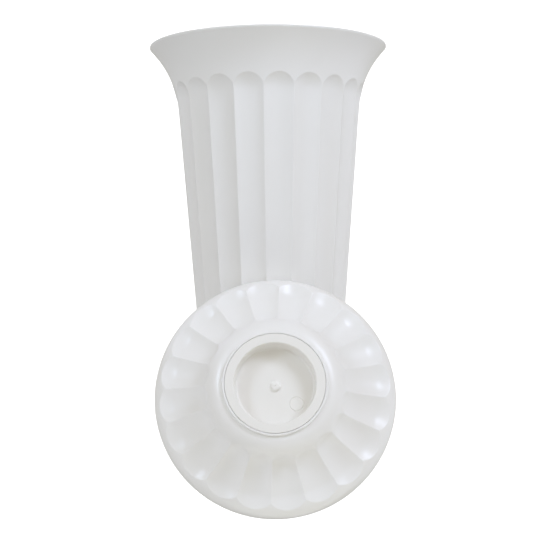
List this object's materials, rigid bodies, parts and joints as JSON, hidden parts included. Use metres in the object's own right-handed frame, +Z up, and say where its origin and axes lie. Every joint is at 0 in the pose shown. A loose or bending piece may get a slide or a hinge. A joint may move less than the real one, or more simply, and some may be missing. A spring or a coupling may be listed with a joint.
{
  "type": "fluted urn mold",
  "caption": "White plastic urn form in loose mouldings: a tapered fluted vase shell with a flared rim, and a round fluted foot with a socket in its collar, leaning against it.",
  "frame": {"origin": "on the surface that both mouldings stand on, under the middle of the box round the whole group", "axes": "+Z up along the vase's axis, which is the longest extent; -Y towards the leaning foot; +X to the right of someone who looks at the foot"},
  "size_m": [0.1998, 0.2592, 0.3765],
  "materials": {
    "vase_plastic": "smooth moulded, satin",
    "plug_plastic": "smooth moulded, satin",
    "foot_plastic": "smooth moulded, semi-gloss",
    "cup_plastic": "smooth moulded, semi-gloss"
  },
  "bodies": {
    "vase": {"vase_shell": "vase_plastic"},
    "plug": {"bottom_plug": "plug_plastic"},
    "foot": {"foot_shell": "foot_plastic"},
    "socket": {"socket_cup": "cup_plastic"}
  },
  "joints": [
    {"name": "plug_lift", "type": "slide", "parent": "vase", "child": "plug", "axis": [0, 0, 1], "range_m": [0, 0.4]},
    {"name": "foot_draw", "type": "slide", "parent": "vase", "child": "foot", "axis": [0, -0.9563, 0.2924], "range_m": [0, 0.2]},
    {"name": "cup_pull", "type": "slide", "parent": "foot", "child": "socket", "axis": [0, -0.9563, 0.2924], "range_m": [0, 0.05]}
  ]
}
